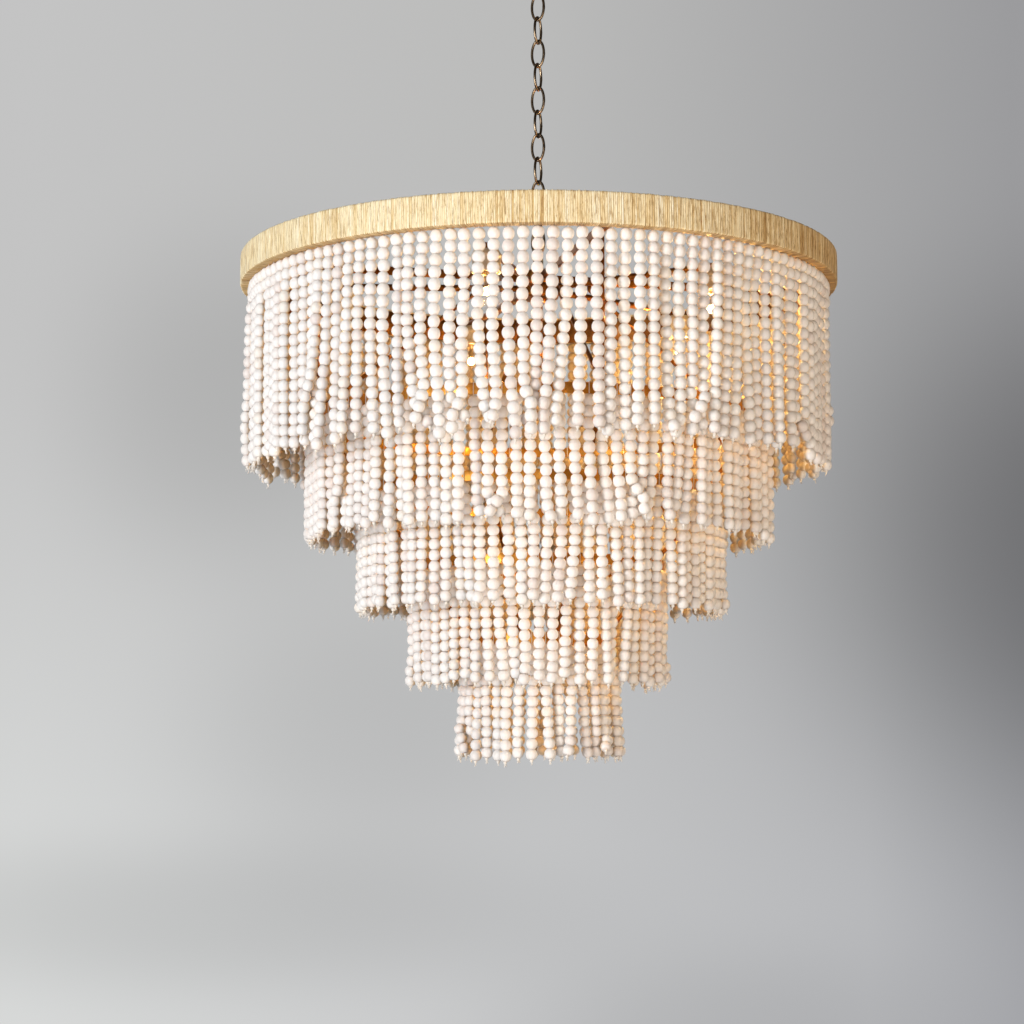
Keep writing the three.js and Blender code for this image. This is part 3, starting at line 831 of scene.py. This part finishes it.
# How far round each bead the painted warm shade on its inner side reaches
INNER_SHADE_REACH = 1.3
DRIFT_CURVE = 1.4
FIRST_BEAD_DROP = [4.8, 6.4, 6.4, 6.4, 6.4]
PITCH_SHARES = [1.018, 0.995, 0.965, 0.955, 0.95]
DRIFT = [1.0, 0.8, 0.75, 0.7, 0.7]
DRIFT_START = [0.35, 0.3, 0.25, 0.25, 0.2]
START_SPREAD = (-0.12, 0.18)
PITCH_SPREAD = 0.021
PITCH_RANGE = (0.96, 1.04)
FIRST_DROP_SPREAD = 0.8
STAND = (-0.7, 3)
STAND_RANGE = (-6, 2.5)
# Uneven hanging: waves of lean round a tier, each strand's own lean and depth, and pairs that close up
LEAN_WAVES = (5, 9, 14, 23)
WAVE_LEAN = (2.6, 4.6)
STRAND_LEAN = 3.4
STRAND_DEPTH = 2.2
PAIR_CHANCE = 0.4
PAIR_LEAN = (3.5, 9)
PAIR_DEPTH = 4.8
SETTLE_ROUNDS = 40
PUSH_CLEARANCE = 0.15
PUSH_SHARE = 0.3
PUSH_HEIGHT = 0.4
PULL_BACK = 0.05
ANY_TURN = (0, 6.28)
THREAD_SIDES = 3
KNOT_DROP = 1.2
KNOT_PROFILE = [(0, 2), (1.4, 1.5), (2.1, 0), (1.4, -1.6), (0, -1.9)]
FRAY_COUNT = 3
FRAY_SPREAD = (0.3, 2.3)
FRAY_LENGTH = (3.6, 5.6)
FRAY_RADIUS = (0.4, 0.62)
# How far each tier's strands stand out or in at the top, the middle and the end, and lean to the right
FLARES = [(-2.2, -1.8, -2.0), (0, -0.4, -0.4), (0, -0.3, -0.6), (0.2, -1.5, -3.6), (-2.6, 0, 4.0)]
SWAYS = [-1.2, -0.6, 2.8, 0.4, 0.8]


def bead_form():
    """One bead about the origin, its threading hole upright: a swollen form cut flat at both ends."""
    end = BEAD_PITCH / 2
    first = math.acos(end / (BEAD_SWELL / 2))
    verts, faces = [(0, 0, end - BEAD_DIMPLE)], []
    for i in range(BEAD_RINGS):
        turn = first + (math.pi - 2 * first) * i / (BEAD_RINGS - 1)
        out, up = math.sin(turn), math.cos(turn)
        grow = (out ** BEAD_FULLNESS + abs(up) ** BEAD_FULLNESS) ** (-1 / BEAD_FULLNESS)
        rise = max(-end, min(end, BEAD_SWELL / 2 * up * grow))
        for s in range(BEAD_SIDES):
            around = 2 * math.pi * s / BEAD_SIDES
            r = BEAD_WIDTH / 2 * out * grow
            verts.append((r * math.cos(around), r * math.sin(around), rise))
    verts.append((0, 0, BEAD_DIMPLE - end))
    last = len(verts) - 1
    for s in range(BEAD_SIDES):
        n = (s + 1) % BEAD_SIDES
        faces.append([0, 1 + s, 1 + n])
        faces.append([last, last - BEAD_SIDES + n, last - BEAD_SIDES + s])
        for i in range(BEAD_RINGS - 1):
            a = 1 + i * BEAD_SIDES
            b = a + BEAD_SIDES
            faces.append([a + s, b + s, b + n, a + n])
    return np.array(verts), faces


BEAD_VERTS, BEAD_FACES = bead_form()
# 1 at a bead's flat ends round its threading hole, where it touches its neighbours, and 0 over the rest of
# it: painted shade between the beads
BEAD_CONTACT_SHADE = np.clip((np.abs(BEAD_VERTS[:, 2]) / (BEAD_PITCH / 2) - CONTACT_SHADE_EDGE) / (1 - CONTACT_SHADE_EDGE), 0, 1)


def smooth_step(value):
    value = np.clip(value, 0, 1)
    return value * value * (3 - 2 * value)


def strand_leans(angles, dice):
    """How far each strand ends sideways and out of the circle. Some neighbours close up, one in front."""
    count = len(angles)
    lean = np.zeros(count)
    for waves in LEAN_WAVES:
        size = dice.uniform(*WAVE_LEAN)
        lean += size * np.sin(waves * angles + dice.uniform(*ANY_TURN)) * (LEAN_WAVES[0] / waves) ** 0.2
    lean += np.array([dice.gauss(0, STRAND_LEAN) for _ in range(count)])
    out = np.array([dice.gauss(0, STRAND_DEPTH) for _ in range(count)])
    j = 0
    while j < count - 1:
        if dice.random() < PAIR_CHANCE:
            close = dice.uniform(*PAIR_LEAN)
            lean[j] += close
            lean[j + 1] -= close
            front = PAIR_DEPTH * dice.choice((-1, 1))
            out[j] += front
            out[j + 1] -= front
            j += 1
        j += 1
    return lean, out


def jitter(count, beads, dice):
    return np.array([[dice.gauss(0, BEAD_JITTER) for _ in range(beads)] for _ in range(count)])


def push_apart(centre, apart):
    """Moves beads sideways off those of the strand that many places along. The first beads stay."""
    beads = centre.shape[1]
    other = np.roll(centre, -apart, 0)
    push_here = np.zeros_like(centre)
    push_there = np.zeros_like(centre)
    for shift in (-1, 0, 1):
        here = slice(max(0, -shift), beads - max(0, shift))
        there = slice(max(0, shift), beads - max(0, -shift))
        gap = centre[:, here] - other[:, there]
        gap[..., 2] *= PUSH_HEIGHT
        length = np.linalg.norm(gap, axis=-1, keepdims=True) + 1e-9
        push = np.clip(BEAD_WIDTH + PUSH_CLEARANCE - length, 0, None) * PUSH_SHARE * gap / length
        push[..., 2] = 0
        push_here[:, here] += push
        push_there[:, there] -= push
    push_here[:, 0] = 0
    push_there[:, 0] = 0
    centre += push_here + np.roll(push_there, apart, 0)


def settle(centre, pitch, target, sway):
    """Pushes touching strands apart, pulls them back to their circle and keeps their beads threaded."""
    for _ in range(SETTLE_ROUNDS):
        push_apart(centre, 1)
        push_apart(centre, 2)
        place = np.hypot(centre[..., 0] - sway, centre[..., 1])
        pull = 1 - PULL_BACK * (place - target) / place
        pull[:, 0] = 1
        centre[..., 0] = (centre[..., 0] - sway) * pull + sway
        centre[..., 1] *= pull
        for i in range(1, centre.shape[1]):
            step = centre[:, i] - centre[:, i - 1]
            step *= (pitch / np.linalg.norm(step, axis=1))[:, None]
            centre[:, i] = centre[:, i - 1] + step


def hanging(t, dice):
    """Bead centres of a tier, as [strand, bead, xyz], hung straight and then drifted and pushed apart."""
    count = TIER_PANELS[t] * PANEL_STRANDS[t]
    beads = TIER_BEADS[t]
    first = -math.pi / TIER_PANELS[t]
    angles = np.array([first + 2 * math.pi * (j + 0.5) / count for j in range(count)])
    lean, out = strand_leans(angles, dice)
    depth = np.arange(beads) / (beads - 1)
    pitch = np.array([held(dice.gauss(1.0, PITCH_SPREAD), *PITCH_RANGE) for _ in range(count)])
    pitch *= BEAD_PITCH * PITCH_SHARES[t]
    stand = np.array([held(dice.gauss(*STAND), *STAND_RANGE) for _ in range(count)])
    stand = stand[:, None] * smooth_step(depth * 5)[None, :]
    flare = np.interp(depth, (0, 0.5, 1), FLARES[t])[None, :]
    sway = SWAYS[t] * smooth_step(depth * 3)[None, :]
    begin = np.array([DRIFT_START[t] + dice.uniform(*START_SPREAD) for _ in range(count)])[:, None]
    weight = np.clip((depth[None, :] - begin) / (1 - begin), 0, 1) ** DRIFT_CURVE * DRIFT[t]
    lateral = lean[:, None] * weight + jitter(count, beads, dice)
    radial = out[:, None] * weight + jitter(count, beads, dice)
    target = TIER_RADII[t] + flare + stand
    radius = target + radial
    around = angles[:, None] + lateral / TIER_RADII[t]
    top = TIER_EDGES[t] - FIRST_BEAD_DROP[t]
    centre = np.empty((count, beads, 3))
    centre[..., 0] = radius * np.sin(around) + sway
    centre[..., 1] = -radius * np.cos(around)
    centre[:, 0, 2] = [top - abs(dice.gauss(0, FIRST_DROP_SPREAD)) for _ in range(count)]
    for i in range(1, beads):
        move = centre[:, i, :2] - centre[:, i - 1, :2]
        drop = np.sqrt(np.maximum(pitch ** 2 - (move ** 2).sum(1), (0.6 * pitch) ** 2))
        centre[:, i, 2] = centre[:, i - 1, 2] - drop
    settle(centre, pitch, target, sway)
    return angles, centre, pitch


def axis_frames(up):
    """Rotations that take the upright axis to each direction."""
    helper = np.where(np.abs(up[:, :1]) < 0.9, np.array([[1.0, 0, 0]]), np.array([[0, 1.0, 0]]))
    x = np.cross(helper, up)
    x /= np.linalg.norm(x, axis=1, keepdims=True)
    y = np.cross(up, x)
    return np.stack([x, y, up], 2)


def thread_loop(t, turn):
    """The thread of one strand, from its first bead over the hoop and back down inside it."""
    edge = TIER_EDGES[t]
    radius = TIER_RADII[t]
    start = (radius, edge - 3)
    if t == 0:
        path = [start, (radius, edge + 1.5)]
    else:
        outer = radius + HOOP_THICKNESS / 2 + THREAD
        inner = radius - HOOP_THICKNESS / 2 - THREAD
        low = edge - 0.5
        high = edge + HOOP_HEIGHT + THREAD
        over = [start, (outer, low), (outer, high), (inner, high), (inner, low), start]
        path = rounded(over, 1.0, 2, False)
    points = [(0, -r, z) for r, z in path]
    return moved(swept(points, circle(THREAD, 5)), turn)


def knot(place, dice):
    """The knot under a strand's last bead, with its frayed ends."""
    shapes = [moved(lathe(KNOT_PROFILE, 7), dice.uniform(*ANY_TURN))]
    for _ in range(FRAY_COUNT):
        turn = dice.uniform(*ANY_TURN)
        flare = dice.uniform(*FRAY_SPREAD)
        length = dice.uniform(*FRAY_LENGTH)
        points = [(0, 0, -0.8), (0, -flare * 0.4, -length * 0.5), (0, -flare, -length)]
        shapes.append(moved(swept(points, circle(dice.uniform(*FRAY_RADIUS), 4)), turn))
    verts, faces = joined(*shapes)
    return [(x + place[0], y + place[1], z + place[2]) for x, y, z in verts], faces


def cord(line):
    """The thread through a strand's beads."""
    ring = circle(THREAD, THREAD_SIDES)
    return [(x + u, y + v, z) for x, y, z in line for u, v in ring], tube_faces(len(line), THREAD_SIDES)


def strand_trims(t, line, angle, end, dice):
    """What holds a strand: its loop over the hoop, the knot under its last bead and the thread between."""
    tail = line[-1] - end * (BEAD_PITCH / 2 + KNOT_DROP)
    return joined(thread_loop(t, angle), knot(tail, dice), cord(line))


def strand_beads(t, j, line, angle, stretch, spins, dice):
    """The beads of strand j, each as its points and what the wood's material reads, and their uprights."""
    ahead = np.vstack([line[1:], line[-1:] * 2 - line[-2:-1]])
    behind = np.vstack([line[:1] + (0, 0, BEAD_PITCH), line[:-1]])
    up = behind - ahead
    up += np.array([[dice.gauss(0, BEAD_TILT), dice.gauss(0, BEAD_TILT), 0] for _ in line])
    up /= np.linalg.norm(up, axis=1, keepdims=True)
    frames = axis_frames(up)
    tone = held(dice.gauss(*STRAND_TONE), 0.0, 1.0)
    outward = np.array([math.sin(angle), -math.cos(angle), 0])
    beads = []
    for i, centre in enumerate(line):
        c, s = math.cos(spins[i]), math.sin(spins[i])
        turn = np.array([[c, -s, 0], [s, c, 0], [0, 0, 1.0]])
        grow = dice.uniform(*BEAD_GROWTH)
        local = BEAD_VERTS @ turn.T * (grow, grow, stretch)
        offset = local @ frames[i].T
        tint = held(tone + dice.gauss(0, BEAD_TONE), 0.0, 1.0)
        beads.append({
            "points": (offset + centre) * MM,
            "tint": np.full(len(BEAD_VERTS), tint),
            "grain": BEAD_VERTS * MM + np.array([j * 0.13, i * 0.071, t * 0.19]),
            # painted shade at the bead's ends, where it touches its neighbours
            "hole": BEAD_CONTACT_SHADE,
            # painted warm shade on the bead's side that faces the chandelier's middle
            "inner_warm_shade": np.clip(-INNER_SHADE_REACH * (offset @ outward) / (BEAD_WIDTH / 2), 0, 1),
        })
    return beads, up


def panel_piece(name, beads, trims):
    """One piece of whitewashed beads and of the cotton that holds them."""
    size = len(BEAD_VERTS)
    faces = [[i * size + v for v in face] for i in range(len(beads)) for face in BEAD_FACES]
    wood_faces = len(faces)
    base = len(beads) * size
    trim_verts, trim_faces = trims
    faces += [[base + v for v in face] for face in trim_faces]
    points = [bead["points"] for bead in beads] + [np.array(trim_verts) * MM]
    mesh = bpy.data.meshes.new(name)
    mesh.from_pydata(np.vstack(points), [], faces)
    mesh.update()
    mesh.shade_smooth()
    mesh.materials.append(WOOD)
    mesh.materials.append(COTTON)
    layer = np.zeros(len(faces), dtype=np.int32)
    layer[wood_faces:] = 1
    mesh.polygons.foreach_set("material_index", layer)
    count = len(trim_verts)
    plain = {"tint": np.full(count, 0.5), "grain": np.zeros((count, 3)), "hole": np.zeros(count),
             "inner_warm_shade": np.zeros(count)}
    for key, values in plain.items():
        add_attribute(mesh, key, np.concatenate([bead[key] for bead in beads] + [values]))
    return placed(name, mesh)


def strand_panels(t):
    """A tier's panels, each one piece of the strands that hang from its hoop."""
    dice = random.Random(100 + t)
    angles, centre, pitch = hanging(t, dice)
    strands, beads = PANEL_STRANDS[t], TIER_BEADS[t]
    spins = np.array([dice.uniform(*ANY_TURN) for _ in range(len(angles) * beads)]).reshape(-1, beads)
    for k in range(TIER_PANELS[t]):
        wood, trims = [], []
        for j in range(k * strands, (k + 1) * strands):
            stretch = pitch[j] / BEAD_PITCH
            more, up = strand_beads(t, j, centre[j], angles[j], stretch, spins[j], dice)
            wood += more
            trims.append(strand_trims(t, centre[j], angles[j], up[-1], dice))
        piece = panel_piece(f"beads_{t + 1}_{k + 1}", wood, joined(*trims))
        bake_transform(piece)
        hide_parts(f"tier_{t + 1}_strands_{k + 1}")


for t in range(5):
    strand_panels(t)

# Carried over from the CAD model
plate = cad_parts["ceiling_plate"]
for place in plate.material_slots:
    place.material = BRONZE

# Floor, backdrop and lights
FLOOR_LEVEL = -2.5
FLOOR_SIDE = 9
FLOOR_FRONT = -7
FLOOR_BACK = 9
WALL_PLACE = 4.5
WALL_SIDE = 8
WALL_TOP = 5


def sheet(name, corners, material):
    mesh = bpy.data.meshes.new(name)
    mesh.from_pydata(corners, [], [(0, 1, 2, 3)])
    mesh.update()
    mesh.materials.append(material)
    piece = placed(name, mesh)


def floor_material():
    return principled("floor_plain", Roughness=0.8, Base_Color=(0.62, 0.63, 0.64, 1))[0]


# The backdrop's tones from left to right, low down and high up, and the stretch over which they change:
# painted light, brighter at the lower left and falling off to the right
LOW_TONES = [
    (0.0, (0.68, 0.69, 0.685)), (0.4, (0.59, 0.595, 0.60)), (0.84, (0.48, 0.485, 0.50)),
    (1.0, (0.37, 0.375, 0.395)),
]
HIGH_TONES = [(0.0, (0.55, 0.55, 0.55)), (0.5, (0.50, 0.50, 0.495)), (1.0, (0.33, 0.33, 0.34))]
TONES_ACROSS = {"From Min": -1.7, "From Max": 1.6}
TONES_RISE = {"From Min": -1.9, "From Max": 0.6}
# Soft shade on it: the middle of each pool, its half width and height, and how deep it is
SHADE_POOLS = [
    ((1.85, -0.36), (1.6, 1.5), 0.5),
    ((-1.0, 0.15), (0.95, 0.95), 0.17),
    ((-1.1, -1.56), (2.1, 0.42), 0.15),
    ((-0.6, -0.95), (1.0, 0.8), 0.12),
    ((0.6, -1.95), (1.2, 0.5), 0.13),
]


def pool(tree, place, middle, half):
    """1 in the middle of an oval pool of shade on the backdrop, and 0 outside its half width and height."""
    scale = (1 / half[0], 0, 1 / half[1])
    shift = (-middle[0] / half[0], 0, -middle[1] / half[1])
    made = node(tree, "ShaderNodeMapping", inputs={"Scale": scale, "Location": shift})
    tree.links.new(place, made.inputs["Vector"])
    ball = node(tree, "ShaderNodeTexGradient", {"gradient_type": "SPHERICAL"})
    tree.links.new(made.outputs["Vector"], ball.inputs["Vector"])
    soft = node(tree, "ShaderNodeMapRange", {"interpolation_type": "SMOOTHERSTEP"})
    tree.links.new(ball.outputs["Fac"], soft.inputs["Value"])
    return soft.outputs["Result"]


def wall_material():
    material = bpy.data.materials.new("wall_painted_light")
    material.use_nodes = True
    tree = material.node_tree
    tree.nodes.remove(tree.nodes["Principled BSDF"])
    place = object_place(tree)
    parts = node(tree, "ShaderNodeSeparateXYZ")
    tree.links.new(place, parts.inputs["Vector"])
    across = node(tree, "ShaderNodeMapRange", inputs=TONES_ACROSS)
    tree.links.new(parts.outputs["X"], across.inputs["Value"])
    rise = node(tree, "ShaderNodeMapRange", {"interpolation_type": "SMOOTHSTEP"}, TONES_RISE)
    tree.links.new(parts.outputs["Z"], rise.inputs["Value"])
    low = ramp(tree, across.outputs["Result"], LOW_TONES)
    high = ramp(tree, across.outputs["Result"], HIGH_TONES)
    mixed = node(tree, "ShaderNodeMix", {"data_type": "RGBA"})
    tree.links.new(rise.outputs["Result"], mixed.inputs["Factor"])
    tree.links.new(low, mixed.inputs["A"])
    tree.links.new(high, mixed.inputs["B"])
    color = mixed.outputs["Result"]
    for middle, half, depth in SHADE_POOLS:
        dark = ramp(tree, pool(tree, place, middle, half), [(0.0, (1, 1, 1)), (1.0, (1 - depth,) * 3)])
        color = blended(tree, "MULTIPLY", 1.0, color, dark)
    shine = node(tree, "ShaderNodeEmission", inputs={"Strength": 1.0})
    tree.links.new(color, shine.inputs["Color"])
    output = tree.nodes["Material Output"]
    tree.links.new(shine.outputs["Emission"], output.inputs["Surface"])
    return material


sheet("floor", [
    (-FLOOR_SIDE, FLOOR_FRONT, FLOOR_LEVEL), (FLOOR_SIDE, FLOOR_FRONT, FLOOR_LEVEL),
    (FLOOR_SIDE, FLOOR_BACK, FLOOR_LEVEL), (-FLOOR_SIDE, FLOOR_BACK, FLOOR_LEVEL)], floor_material())
sheet("backdrop", [
    (-WALL_SIDE, WALL_PLACE, FLOOR_LEVEL), (WALL_SIDE, WALL_PLACE, FLOOR_LEVEL),
    (WALL_SIDE, WALL_PLACE, WALL_TOP), (-WALL_SIDE, WALL_PLACE, WALL_TOP)], wall_material())


def light(name, kind, place, power, color):
    data = bpy.data.lights.new(name, kind)
    data.energy = power
    data.color = color
    made = placed(name, data)
    made.location = place
    made.visible_camera = False
    return made


def softbox(name, place, aim, size, power, color):
    """A square light of the size given that faces the aim."""
    made = light(name, "AREA", place, power, color)
    made.data.shape = "SQUARE"
    made.data.size = size
    made.rotation_euler = (Vector(aim) - Vector(place)).to_track_quat("-Z", "Y").to_euler()


def glow(name, place, power):
    """A warm light inside the chandelier, at a place in millimetres."""
    made = light(name, "POINT", [v * MM for v in place], power, GLOW_COLOR)
    made.data.shadow_soft_size = GLOW_RADIUS * MM


MIDDLE = (0, 0, -0.65)
LOWER_MIDDLE = (0, 0, -0.85)
softbox("key", (-2.4, -2.5, -0.75), MIDDLE, 1.3, 85, (1.0, 1.0, 1.0))
softbox("front", (-0.7, -3.4, -1.0), MIDDLE, 1.8, 29, (1.0, 0.99, 0.975))
softbox("right", (2.2, -2.1, -1.45), LOWER_MIDDLE, 1.4, 42, (1.0, 0.79, 0.58))
softbox("back", (0.5, 2.6, -0.2), MIDDLE, 2.0, 3, (1.0, 0.8, 0.6))

# The lamps' own light, and what their beads pass down to the lower skirts
GLOW_COLOR = (1.0, 0.62, 0.2)
GLOW_RADIUS = 6
LAMP_GLOW = [0.4, 2.6, 2.6, 0.4, 0.3]
SKIRT_GLOW = [0.5, 0.3, 0.2, 0.1]
SKIRT_GLOW_DROP = 45
lamp_level = SOCKET_TOP - SOCKET_HEIGHT - FILAMENT_DROP - FILAMENT_LENGTH / 2
for k, power in enumerate(LAMP_GLOW):
    turn = (LAMP_AZIMUTH + LAMP_STEP * k) * DEG
    place = (LAMP_RADIUS * math.sin(turn), -LAMP_RADIUS * math.cos(turn), lamp_level)
    glow(f"glow_lamp_{k + 1}", place, power)
for t, power in enumerate(SKIRT_GLOW, 1):
    place = (0.55 * TIER_RADII[t], 0, TIER_EDGES[t] - SKIRT_GLOW_DROP)
    glow(f"glow_skirt_{t + 1}", place, power)

world = bpy.data.worlds.new("studio")
world.use_nodes = True
surround = world.node_tree.nodes["Background"]
surround.inputs["Color"].default_value = (0.5, 0.42, 0.35, 1)
surround.inputs["Strength"].default_value = 0.07
bpy.context.scene.world = world
